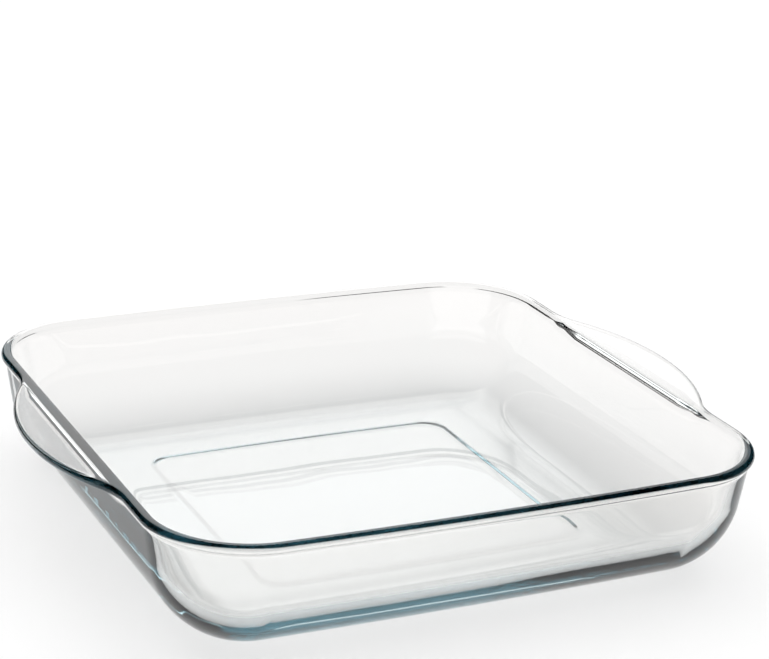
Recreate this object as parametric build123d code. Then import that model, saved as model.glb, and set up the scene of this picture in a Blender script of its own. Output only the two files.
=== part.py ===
from build123d import *
import math
import os

# A square lasagna dish of clear pressed glass, in millimetres.
# X runs along the front side, Y towards the back, Z up.
# The origin is at the middle of the dish, on the surface that it stands on.

# Overall form
rim_width = 300.0           # over the rim, each way, at the middle of the sides
height = 62.0               # from the resting surface to the top of the rim
rim_corner_radius = 48.5    # of the rim's outer edge, seen from above
side_bow = 1.8              # how far the front and back sides swell at their middle

# Glass
wall = 4.0                  # thickness of the walls at the rim, measured level
floor_thickness = 9.0
inner_draft = 12.0          # degrees that the walls' inner faces lean, so they thicken downwards
inner_radius = 37.0         # between wall and floor, on the inside
rim_depth = 4.2             # height of the rim bead, and of the handles' edge
rim_overhang = 1.6          # how far the rim bead stands out past the wall
rim_round = 1.85            # how far the half-round edge of rim and handles swells out
mouth_radius = 1.85         # of the rounded inner edge of the mouth
mouth_limit_share = 0.45    # of the rim's depth, for that edge on a slim rim

# Walls and bottom
wall_draft = 8.5            # degrees that the walls lean out
bottom_radius = 43.0        # between wall and bottom, on the outside
bottom_corner_limit_share = 0.99  # of the walls' corner radius, for the bottom's rounding
bottom_depth_limit_share = 0.8    # of the walls' height, likewise

# Sunk panel in the underside, inside the ring that the dish rests on
foot_ring_width = 19.0      # from the edge of the flat bottom to the panel
panel_corner_radius = 12.0
panel_depth = 0.6
panel_slope = 3.0           # run of the panel's sloping edge, seen from above

# Handles, one on the left side and one on the right
handle_reach = 19.5         # from the rim's outer edge to the handle's
handle_end_gap = 20.0       # from the handle's end to the rounded corner
handle_blend_radius = 38.0  # where the handle's edge runs into the rim
web_height = 5.5            # of the curved web between wall and handle
web_reach = 7.0             # of the web, out from the wall

cut_overrun = 5.0

# Levels on the rim's half-round edge, as shares of a quarter turn from its middle
rim_level_shares = (-1.0, -0.67, -0.33, 0.0, 0.33, 0.67, 1.0)

rim_half = rim_width / 2
wall_top = height - rim_depth / 2
outer_lean = math.radians(wall_draft)
inner_lean = math.radians(inner_draft)


def plan(half, corner, bow):
    """Key points of a rounded square with straight left and right sides and bowed front and back."""
    straight = half - corner
    bow_radius = (straight ** 2 + bow ** 2) / (2 * bow)
    bow_centre = half - bow_radius
    corner_y = bow_centre + math.sqrt((bow_radius - corner) ** 2 - straight ** 2)
    lean = math.atan2(straight, corner_y - bow_centre)
    turn = (math.pi / 2 - lean) / 2
    side_end = (half, corner_y)
    corner_middle = (straight + corner * math.cos(turn), corner_y + corner * math.sin(turn))
    front_end = (straight + corner * math.sin(lean), corner_y + corner * math.cos(lean))
    return side_end, corner_middle, front_end


def arc(start, middle, end, z):
    return Edge.make_three_point_arc(Vector(*start, z), Vector(*middle, z), Vector(*end, z))


def line(start, end, z):
    return Edge.make_line(Vector(*start, z), Vector(*end, z))


def corners_and_bows(half, corner, bow, z):
    side_end, corner_middle, front_end = plan(half, corner, bow)
    edges = []
    for back in (1, -1):
        for right in (1, -1):
            points = [(right * x, back * y) for x, y in (side_end, corner_middle, front_end)]
            edges.append(arc(*points, z))
        x, y = front_end
        edges.append(arc((-x, back * y), (0, back * half), (x, back * y), z))
    return edges


def section(half, corner, bow, z):
    """A level section of the walls."""
    x, y = plan(half, corner, bow)[0]
    edges = corners_and_bows(half, corner, bow, z)
    for side in (x, -x):
        edges.append(line((side, -y), (side, y), z))
    return Wire(edges)


def point_on(centre, toward, radius):
    """The point at a radius from a centre, in the direction of another point."""
    x, y = toward[0] - centre[0], toward[1] - centre[1]
    length = math.hypot(x, y)
    return centre[0] + radius * x / length, centre[1] + radius * y / length


# A handle's edge is one large arc, run into the rim by a small reversed arc at each end.
handle_half = plan(rim_half, rim_corner_radius, side_bow)[0][1] - handle_end_gap
arc_centres_apart = (handle_half ** 2 + handle_reach ** 2) / (2 * handle_reach)
handle_radius = arc_centres_apart - handle_blend_radius
handle_centre = (rim_half + handle_reach - handle_radius, 0)
blend_centre = (rim_half + handle_blend_radius, handle_half)


def handle_edge(inset, z):
    """The right handle's edge, moved inwards, from the rim's front to its back."""
    side = rim_half - inset
    corner_y = plan(side, rim_corner_radius - inset, side_bow)[0][1]
    radius = handle_radius - inset
    blend = handle_blend_radius + inset
    leave = (side, handle_half)
    join = point_on(blend_centre, handle_centre, blend)
    halfway = ((leave[0] + join[0]) / 2, (leave[1] + join[1]) / 2)
    bend = point_on(blend_centre, halfway, blend)
    tip = (handle_centre[0] + radius, 0)

    def front(point):
        return point[0], -point[1]

    return [
        line(front((side, corner_y)), front(leave), z),
        arc(front(leave), front(bend), front(join), z),
        arc(front(join), tip, join, z),
        arc(join, bend, leave, z),
        line(leave, (side, corner_y), z),
    ]


def rim_outline(inset, z):
    """The rim's outer edge with both handles, moved inwards."""
    edges = corners_and_bows(rim_half - inset, rim_corner_radius - inset, side_bow, z)
    right_edge = handle_edge(inset, z)
    left_edge = [edge.mirror(Plane.YZ) for edge in right_edge]
    return Wire(edges + right_edge + left_edge)


def bottom_rounding(radius, lean, corner, depth):
    """The radius between wall and bottom, as large as the corners and the depth leave room for."""
    corner_room = corner * bottom_corner_limit_share * math.cos(lean) - depth * math.sin(lean)
    return min(radius, corner_room / (1 - math.sin(lean)), depth * bottom_depth_limit_share)


def bowl(half, corner, top_z, floor_z, lean, radius):
    """A solid with leaning sides that round off into a flat bottom."""
    depth = top_z - floor_z
    top = Face(section(half, corner, side_bow, top_z))
    sides = extrude(top, depth, dir=(0, 0, -1), taper=math.degrees(lean))
    flat = sides.faces().sort_by(Axis.Z)[0]
    return fillet(flat.edges(), bottom_rounding(radius, lean, corner, depth))


# Outside of the dish, up to the middle of the rim
outer_half = rim_half - rim_overhang
outer_corner = rim_corner_radius - rim_overhang
body = bowl(outer_half, outer_corner, wall_top, 0, outer_lean, bottom_radius)

# Space for the food, open at the top
cavity_top = height + cut_overrun
cavity_spread = (cavity_top - wall_top) * math.tan(inner_lean) - wall
cavity = bowl(
    outer_half + cavity_spread,
    outer_corner + cavity_spread,
    cavity_top,
    floor_thickness,
    inner_lean,
    inner_radius,
)


def rim_level(share):
    """A level on the half-round edge of the rim and the handles."""
    angle = share * math.pi / 2
    inset = rim_round * (1 - math.cos(angle))
    return rim_outline(inset, wall_top + rim_depth / 2 * math.sin(angle))


# Rim and handles: one plate with a half-round edge
plate = Solid.make_loft([rim_level(share) for share in rim_level_shares], ruled=True)

# Webs that round off the inner corner under each handle
rim_bottom = height - rim_depth
web_bottom = rim_bottom - web_height
web_foot = outer_half - (wall_top - web_bottom) * math.tan(outer_lean)
web_tip = outer_half + web_reach
web_inside = web_foot - wall / 2
web_arc = Edge.make_tangent_arc(
    Vector(web_foot, 0, web_bottom),
    Vector(math.sin(outer_lean), 0, math.cos(outer_lean)),
    Vector(web_tip, 0, rim_bottom),
)
web_lines = Wire.make_polygon(
    [
        Vector(web_tip, 0, rim_bottom),
        Vector(web_tip, 0, wall_top),
        Vector(web_inside, 0, wall_top),
        Vector(web_inside, 0, web_bottom),
        Vector(web_foot, 0, web_bottom),
    ],
    close=False,
)
web_face = Face(Wire([web_arc] + web_lines.edges()))
web_bar = Solid.extrude(web_face.translate(Vector(0, -handle_half, 0)), Vector(0, 2 * handle_half, 0))
web_room = Solid.extrude(Face(rim_outline(rim_depth / 2, web_bottom)), Vector(0, 0, web_height + rim_depth))
web = web_bar & web_room


# Sunk panel
outer_radius = bottom_rounding(bottom_radius, outer_lean, outer_corner, wall_top)
wall_run = (outer_radius + (wall_top - outer_radius) * math.sin(outer_lean)) / math.cos(outer_lean)
panel_half = outer_half - wall_run - foot_ring_width


def panel_outline(spread, z):
    half = panel_half - panel_slope + spread
    return section(half, panel_corner_radius, side_bow * half / rim_half, z)


panel = Solid.make_loft(
    [panel_outline(0, panel_depth), panel_outline(2 * panel_slope, -panel_depth)],
    ruled=True,
)

dish = body + plate + web + web.mirror(Plane.YZ) - cavity - panel

# Rounded inner edge of the mouth
rim_top = dish.faces().sort_by(Axis.Z)[-1]
mouth = max(rim_top.inner_wires(), key=lambda wire: wire.length)
dish = fillet(mouth.edges(), min(mouth_radius, rim_depth * mouth_limit_share))

glass_dish = dish.solids()[0]
os.makedirs("parts", exist_ok=True)
export_step(glass_dish, "parts/glass_dish.step")
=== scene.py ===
import math

import bpy
import numpy as np
from mathutils import Matrix, Vector


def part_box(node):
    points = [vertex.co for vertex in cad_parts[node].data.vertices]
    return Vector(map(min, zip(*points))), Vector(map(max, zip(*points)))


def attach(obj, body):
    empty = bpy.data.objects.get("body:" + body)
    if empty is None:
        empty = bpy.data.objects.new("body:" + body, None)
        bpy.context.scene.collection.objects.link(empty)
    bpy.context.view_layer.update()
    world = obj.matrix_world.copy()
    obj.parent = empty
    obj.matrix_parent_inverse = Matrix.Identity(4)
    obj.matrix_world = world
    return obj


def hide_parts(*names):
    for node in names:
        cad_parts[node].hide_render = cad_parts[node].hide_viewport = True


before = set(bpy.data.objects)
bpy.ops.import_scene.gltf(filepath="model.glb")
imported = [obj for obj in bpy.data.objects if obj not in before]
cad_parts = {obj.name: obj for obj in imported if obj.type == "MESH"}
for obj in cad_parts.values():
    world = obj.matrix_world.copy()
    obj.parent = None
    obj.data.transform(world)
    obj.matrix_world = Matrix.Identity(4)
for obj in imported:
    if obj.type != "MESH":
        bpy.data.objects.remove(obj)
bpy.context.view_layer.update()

# The dish is one piece of clear glass, pressed in a mould. Its walls lean out from a large rounded
# bottom, the rim is a bead, and the bead runs on round a flat wing on the left and right side.
# All sizes are in metres, in the same frame as the solid model.
dish_low, dish_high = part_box("glass_dish")
height = dish_high.z
rim_half = dish_high.y
handle_reach = dish_high.x - rim_half
rim_corner = 0.0485
side_bow = 0.0018
rim_depth = 0.0042
rim_overhang = 0.0016
wall = 0.004
floor_thickness = 0.009
draft = math.radians(8.5)              # that the outside of the walls leans out
bottom_radius = 0.043
inner_draft = math.radians(12)         # that the inside of the walls leans out
inner_radius = 0.037
foot_ring_width = 0.019
panel_corner = 0.012
panel_depth = 0.0006
panel_slope = 0.003
mouth_radius = 0.002
handle_end_gap = 0.02
handle_blend = 0.038
web_height = 0.0055
web_reach = 0.007
bead_curve_height = 0.0015             # of the hollow curve between wall and bead, off the handles
handle_start = 0.004                   # reach at which a wing has its web's full height

bead_radius = rim_depth / 2
wall_top = height - bead_radius
outer_half = rim_half - rim_overhang
outer_corner = rim_corner - rim_overhang

# The mesh is closed rings, from the middle of the underside out, up and over the rim, and back in to
# the middle of the floor. These are their columns along a handle's side, round a corner and along a bow.
side_columns = 140
corner_columns = 28
bow_columns = 44


def plan(half, corner, bow):
    """The end of the straight side, and the lean and centre of the bowed front's arc."""
    straight = half - corner
    bow_radius = (straight ** 2 + bow ** 2) / (2 * bow)
    bow_centre = half - bow_radius
    corner_y = bow_centre + math.sqrt((bow_radius - corner) ** 2 - straight ** 2)
    lean = math.atan2(straight, corner_y - bow_centre)
    return straight, corner_y, lean, bow_radius, bow_centre


def ring(half, corner, z):
    """A closed level ring on a rounded square, from the front of the right side on."""
    straight, corner_y, lean, bow_radius, bow_centre = plan(half, corner, side_bow * half / rim_half)
    side = np.linspace(-1, 1, side_columns, endpoint=False) * corner_y
    turn = np.linspace(0, math.pi / 2 - lean, corner_columns, endpoint=False)
    sweep = np.linspace(lean, -lean, bow_columns, endpoint=False)
    right = np.c_[np.full(side_columns, half), side]
    corner_back = np.c_[straight + corner * np.cos(turn), corner_y + corner * np.sin(turn)]
    bow_back = np.c_[bow_radius * np.sin(sweep), bow_centre + bow_radius * np.cos(sweep)]
    turn_left = math.pi / 2 - lean - turn
    corner_left = np.c_[-straight - corner * np.cos(turn_left), corner_y + corner * np.sin(turn_left)]
    half_ring = np.r_[right, corner_back, bow_back, corner_left]
    level = np.full(2 * len(half_ring), z)
    return np.c_[np.r_[half_ring, -half_ring], level]


def wall_ring(half, z):
    """A level ring on a wall. Its corners turn about the same upright axes at every level."""
    return ring(half, half - outer_half + outer_corner, z)


def mixed(first, second, share):
    """Points between two rings, with one share for all columns or one for each."""
    share = np.reshape(share, (-1, 1))
    return first + (second - first) * share


def smooth(share):
    share = np.clip(share, 0, 1)
    return share * share * (3 - 2 * share)


# A handle's edge, seen from above, is one large arc with a small reversed arc at each end
rim_inset_steps = 8
handle_half = plan(rim_half, rim_corner, side_bow)[1] - handle_end_gap
handle_radius = (handle_half ** 2 + handle_reach ** 2) / (2 * handle_reach) - handle_blend
handle_centre = rim_half + handle_reach - handle_radius


def handle_x(y, inset):
    """How far out the side's edge lies at a place along it, moved inwards by an inset."""
    y = np.abs(y)
    join = handle_half * (handle_radius - inset) / (handle_radius + handle_blend)
    arc = handle_centre + np.sqrt(np.maximum((handle_radius - inset) ** 2 - y ** 2, 0))
    rise = np.maximum((handle_blend + inset) ** 2 - (handle_half - y) ** 2, 0)
    blend = rim_half + handle_blend - np.sqrt(rise)
    return np.where(y < join, arc, np.where(y < handle_half, blend, rim_half - inset))


def rim_ring(inset, z):
    """A ring on the outline of rim and handles. Inset and level are one number, or one a column."""
    steps = np.linspace(0, rim_depth, rim_inset_steps)
    rings = np.array([ring(rim_half - step, rim_corner - step, 0) for step in steps])
    columns = rings.shape[1]
    inset = np.broadcast_to(inset, (columns,))
    place = inset / steps[1]
    below = np.clip(place.astype(int), 0, len(steps) - 2)
    column = np.arange(columns)
    points = mixed(rings[below, column], rings[below + 1, column], place - below)
    for start, side in ((0, 1), (columns // 2, -1)):
        along = slice(start, start + side_columns)
        points[along, 0] = side * handle_x(points[along, 1], inset[along])
    points[:, 2] = z
    return points


def flat_half(top_half, lean, radius, floor_z):
    """Half the width of the flat that is left below a leaning wall and its rounding."""
    rise = wall_top - floor_z - radius
    return top_half - (radius + rise * math.sin(lean)) / math.cos(lean)


def rounding(flat, lean, radius, floor_z, shares):
    """Rings on the rounding between flat and wall, from share 0 at the flat to 1 at the wall."""
    rings = []
    for share in shares:
        angle = -math.pi / 2 + share * (math.pi / 2 - lean)
        z = floor_z + radius + radius * math.sin(angle)
        rings.append(wall_ring(flat + radius * math.cos(angle), z))
    return rings


# Underside: sunk panel, its sloping edge, the ring that the dish stands on, and the rounding.
# The shares are places of rings on the stretch that they divide.
panel_shares = (0.25, 0.5, 0.75, 0.93)
slope_steps = 9
foot_shares = (0.1, 0.35, 0.65, 0.9)
bottom_steps = 24
outer_flat = flat_half(outer_half, draft, bottom_radius, 0)
panel_half = outer_flat - foot_ring_width
panel_edge = ring(panel_half, panel_corner, 0)
panel_foot = ring(panel_half - panel_slope, panel_corner, panel_depth)
rings = [panel_foot * (share, share, 1) for share in panel_shares]
for share in np.linspace(0, 1, slope_steps):
    points = mixed(panel_foot, panel_edge, share)
    points[:, 2] = panel_depth * (1 - smooth(share))
    rings.append(points)
foot_edge = wall_ring(outer_flat, 0)
rings += [mixed(panel_edge, foot_edge, share) for share in foot_shares]
rings += rounding(outer_flat, draft, bottom_radius, 0, np.linspace(0, 1, bottom_steps))

# Outside of the wall, up to the hollow curve below the bead, or to the web below a handle
outer_wall_steps = 10
web_steps = 11
wing_steps = 6
web_start_share = 0.75
wall_low = rings[-1]
wall_high = wall_ring(outer_half, wall_top)


def on_wall(z):
    return mixed(wall_low, wall_high, (z - wall_low[0, 2]) / (wall_top - wall_low[0, 2]))


rim_edge = rim_ring(0, wall_top)
column_count = len(rim_edge)
reach = np.zeros(column_count)
for start, side in ((0, 1), (column_count // 2, -1)):
    along = slice(start, start + side_columns)
    reach[along] = side * rim_edge[along, 0] - rim_half
on_handle = smooth(reach / handle_start)
bead_end = -(math.pi / 4) * (1 + on_handle)
bead_inset = bead_radius * (1 - np.cos(bead_end))
below_bead = rim_ring(bead_inset, wall_top + bead_radius * np.sin(bead_end))
gap = np.linalg.norm((below_bead - on_wall(below_bead[:, 2]))[:, :2], axis=1)
run = gap / (np.sin(-bead_end) - np.cos(bead_end) * math.tan(draft))
knee = on_wall(below_bead[:, 2] - run * np.cos(bead_end))
web_low = on_wall(knee[:, 2] - (bead_curve_height + (web_height - bead_curve_height) * on_handle))
span = np.linalg.norm(below_bead - knee, axis=1)
web_start = mixed(knee, below_bead, np.minimum(web_start_share, web_reach / span))
rings += [mixed(wall_low, web_low, share) for share in np.linspace(0, 1, outer_wall_steps)[1:]]
for share in np.linspace(1, 0, web_steps)[1:]:
    rings.append(mixed(mixed(web_start, knee, share), mixed(knee, web_low, share), share))
rings += [mixed(web_start, below_bead, share) for share in np.linspace(0, 1, wing_steps)[1:]]

# Half-round edge of rim and handles
bead_steps = 15
for share in np.linspace(0, 1, bead_steps)[1:]:
    angle = bead_end + share * (math.pi / 2 - bead_end)
    rings.append(rim_ring(bead_radius * (1 - np.cos(angle)), wall_top + bead_radius * np.sin(angle)))

# Mouth: the rounded inner edge, and the flat top between it and the outer edge
mouth_steps = 9
top_steps = 6
inner_top_half = outer_half - wall
mouth_middle = height - mouth_radius
mouth_spread = (mouth_middle - wall_top) * math.tan(inner_draft) + mouth_radius / math.cos(inner_draft)
mouth_rings = []
for share in np.linspace(0, 1, mouth_steps):
    angle = math.pi / 2 + share * (math.pi / 2 - inner_draft)
    half = inner_top_half + mouth_spread + mouth_radius * math.cos(angle)
    z = mouth_middle + mouth_radius * math.sin(angle)
    mouth_rings.append(wall_ring(half, z))
rings += [mixed(rings[-1], mouth_rings[0], share) for share in np.linspace(0, 1, top_steps)[1:-1]]
rings += mouth_rings

# Inside: wall, rounding and floor
inner_wall_steps = 8
inner_steps = 22
floor_shares = (0.97, 0.9, 0.75, 0.5, 0.25)
inner_flat = flat_half(inner_top_half, inner_draft, inner_radius, floor_thickness)
inner_shares = np.linspace(1, 0, inner_steps)
inner_arc = rounding(inner_flat, inner_draft, inner_radius, floor_thickness, inner_shares)
rings += [mixed(rings[-1], inner_arc[0], share) for share in np.linspace(0, 1, inner_wall_steps)[1:-1]]
rings += inner_arc
rings += [inner_arc[-1] * (share, share, 1) for share in floor_shares]

vertices = np.vstack(rings + [[[0, 0, panel_depth]], [[0, 0, floor_thickness]]])
panel_middle = len(vertices) - 2
floor_middle = len(vertices) - 1
grid = np.arange(len(rings) * column_count).reshape(len(rings), column_count)
after = np.roll(grid, -1, axis=1)
faces = np.stack([grid[:-1], after[:-1], after[1:], grid[1:]], axis=-1).reshape(-1, 4).tolist()
faces += [[panel_middle, right, left] for left, right in zip(grid[0], after[0])]
faces += [[floor_middle, left, right] for left, right in zip(grid[-1], after[-1])]
dish_mesh = bpy.data.meshes.new("dish")
dish_mesh.from_pydata(vertices.tolist(), [], faces)
dish_mesh.shade_smooth()
dish = bpy.data.objects.new("dish", dish_mesh)
bpy.context.scene.collection.objects.link(dish)
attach(dish, "root")
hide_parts("glass_dish")


class Shade:
    """A node socket that takes part in Python sums."""

    def __init__(self, tree, socket):
        self.tree = tree
        self.socket = socket

    def math(self, operation, other, swapped=False):
        values = (other, self) if swapped else (self, other)
        return add_node(self.tree, "ShaderNodeMath", {"operation": operation}, values)

    def __add__(self, other):
        return self.math("ADD", other)

    def __sub__(self, other):
        return self.math("SUBTRACT", other)

    def __rsub__(self, other):
        return self.math("SUBTRACT", other, swapped=True)

    def __mul__(self, other):
        return self.math("MULTIPLY", other)

    __radd__ = __add__
    __rmul__ = __mul__


def add_node(tree, kind, settings, inputs, output=0):
    """Adds a node, sets its settings, then the values or links of its sockets."""
    node = tree.nodes.new(kind)
    for name, value in settings.items():
        setattr(node, name, value)
    named = inputs.items() if isinstance(inputs, dict) else enumerate(inputs)
    for name, value in named:
        if isinstance(value, Shade):
            tree.links.new(value.socket, node.inputs[name])
        else:
            node.inputs[name].default_value = value
    return Shade(tree, node.outputs[output])


# Clear pressed glass, blue-green where one looks along it and neutral where it is thin, with the
# slight waves that pressing leaves.
glass = bpy.data.materials.new("clear_pressed_glass")
glass.use_nodes = True
tree = glass.node_tree
tree.nodes.clear()
place = add_node(tree, "ShaderNodeTexCoord", {}, {}, "Object")
waves = add_node(tree, "ShaderNodeTexNoise", {}, {"Vector": place, "Scale": 14.0, "Detail": 1.0}, "Fac")
wave_relief = {"Strength": 0.35, "Distance": 0.0006, "Height": waves}
ripple = add_node(tree, "ShaderNodeBump", {}, wave_relief, "Normal")
surface = add_node(
    tree,
    "ShaderNodeBsdfPrincipled",
    {},
    {
        "Base Color": (1.0, 0.975, 0.962, 1),
        "Roughness": 0.0,
        "IOR": 1.475,
        "Transmission Weight": 1.0,
        "Normal": ripple,
    },
    "BSDF",
)
depth_tint = {"Color": (0.0, 0.41, 0.5, 1), "Density": 8.0}
tint = add_node(tree, "ShaderNodeVolumeAbsorption", {}, depth_tint, "Volume")
output = tree.nodes.new("ShaderNodeOutputMaterial")
tree.links.new(surface.socket, output.inputs["Surface"])
tree.links.new(tint.socket, output.inputs["Volume"])
dish_mesh.materials.append(glass)

# Floor: a plain white sheet. It glows a little for the camera and for glass, so that it stays white
# there, and the rest of its light comes from the studio, so that it keeps the dish's shadow.
glow_share = 0.55
floor_half = 4.0
floor_gap = 0.0002


def glass_rays(tree):
    """1 for a ray that glass sends on, and 1 for a ray that has met a matt surface."""
    path = tree.nodes.new("ShaderNodeLightPath").outputs
    kinds = [Shade(tree, path[kind]) for kind in ("Is Glossy Ray", "Is Transmission Ray")]
    sent_on = add_node(tree, "ShaderNodeMath", {"operation": "MAXIMUM"}, kinds)
    depth = Shade(tree, path["Diffuse Depth"])
    bounced = add_node(tree, "ShaderNodeMath", {"operation": "MINIMUM"}, (depth, 1.0))
    return sent_on, bounced


floor_mesh = bpy.data.meshes.new("floor")
floor_corners = [(-1, -1), (1, -1), (1, 1), (-1, 1)]
floor_mesh.from_pydata([(x * floor_half, y * floor_half, 0) for x, y in floor_corners], [], [(0, 1, 2, 3)])
floor = bpy.data.objects.new("floor", floor_mesh)
bpy.context.scene.collection.objects.link(floor)
floor.location.z = -floor_gap
sheet = bpy.data.materials.new("white_sheet")
sheet.use_nodes = True
tree = sheet.node_tree
tree.nodes.clear()
camera_ray = add_node(tree, "ShaderNodeLightPath", {}, {}, "Is Camera Ray")
seen = camera_ray + glass_rays(tree)[0]
paper = add_node(tree, "ShaderNodeBsdfDiffuse", {}, {"Color": (0.97, 0.97, 0.97, 1)}, "BSDF")
glow = add_node(tree, "ShaderNodeEmission", {}, {"Color": (1, 1, 1, 1), "Strength": 1.0}, "Emission")
shown = add_node(tree, "ShaderNodeMixShader", {}, [seen * glow_share, paper, glow])
output = tree.nodes.new("ShaderNodeOutputMaterial")
tree.links.new(shown.socket, output.inputs["Surface"])
floor_mesh.materials.append(sheet)

# Studio: a large soft lamp above the back lights the sheet. Glass shows a dark room, with one light box
# low behind the camera and a smaller one at the back, which is what draws its edges dark.
world = bpy.data.worlds.new("studio")
bpy.context.scene.world = world
world.use_nodes = True
tree = world.node_tree
direction = add_node(tree, "ShaderNodeTexCoord", {}, {}, "Generated")
height_up = add_node(tree, "ShaderNodeSeparateXYZ", {}, {"Vector": direction}, "Z")


def soft_step(value, edge, softness):
    """From 0 below an edge to 1 above it."""
    limits = {"Value": value, "From Min": edge - softness, "From Max": edge + softness}
    return add_node(tree, "ShaderNodeMapRange", {"interpolation_type": "SMOOTHSTEP"}, limits)


def toward(azimuth, elevation, half_angle, softness):
    """1 for the directions within an angle of one. The azimuth is 0 at the back, 90 at the right."""
    turn, lift = math.radians(azimuth), math.radians(elevation)
    middle = (math.sin(turn) * math.cos(lift), math.cos(turn) * math.cos(lift), math.sin(lift))
    settings = {"operation": "DOT_PRODUCT"}
    nearness = add_node(tree, "ShaderNodeVectorMath", settings, (direction, middle), "Value")
    return soft_step(nearness, math.cos(math.radians(half_angle)), softness)


fill_strength = 0.15
lamp_strength = 1.85
front_box_strength = 1.3
front_box_top = 0.2
front_box_softness = 0.05
back_box_strength = 1.7
lamp = fill_strength + lamp_strength * toward(26, 76, half_angle=47, softness=0.2)
below_top = 1 - soft_step(height_up, front_box_top, front_box_softness)
front_box = below_top * toward(210, 0, half_angle=45, softness=front_box_softness)
back_box = toward(17, 20, half_angle=17, softness=0.03)
room = front_box_strength * front_box + back_box_strength * back_box
glass_ray, bounced = glass_rays(tree)
strength = lamp + glass_ray * (1 - bounced) * (room - lamp)
background = tree.nodes["Background"]
background.inputs["Color"].default_value = (1, 1, 1, 1)
tree.links.new(strength.socket, background.inputs["Strength"])

# Camera, at the place that the photograph was taken from, found by a fit to the rim, the handles, the
# sunk panel's lines and the lower outline. A ray may pass through many faces of the glass.
target = Vector((0.05127, 0.08602, 0.0599))
yaw = -0.45264
pitch = 0.33925
roll = 0.04615
distance = 1.20315
back = Vector((math.sin(yaw) * math.cos(pitch), -math.cos(yaw) * math.cos(pitch), math.sin(pitch)))
level_right = Vector((math.cos(yaw), math.sin(yaw), 0))
level_up = back.cross(level_right)
right = level_right * math.cos(roll) + level_up * math.sin(roll)
up = level_up * math.cos(roll) - level_right * math.sin(roll)
camera_data = bpy.data.cameras.new("camera")
camera_data.sensor_width = 36
camera_data.lens = 106.97
camera = bpy.data.objects.new("camera", camera_data)
turned = Matrix((right, up, back)).transposed().to_4x4()
camera.matrix_world = Matrix.Translation(target + back * distance) @ turned
bpy.context.scene.collection.objects.link(camera)
bpy.context.scene.camera = camera
bpy.context.scene.view_settings.view_transform = "Standard"
bounces_in_glass = 48
cycles = bpy.context.scene.cycles
cycles.max_bounces = bounces_in_glass
cycles.transmission_bounces = bounces_in_glass
cycles.glossy_bounces = bounces_in_glass
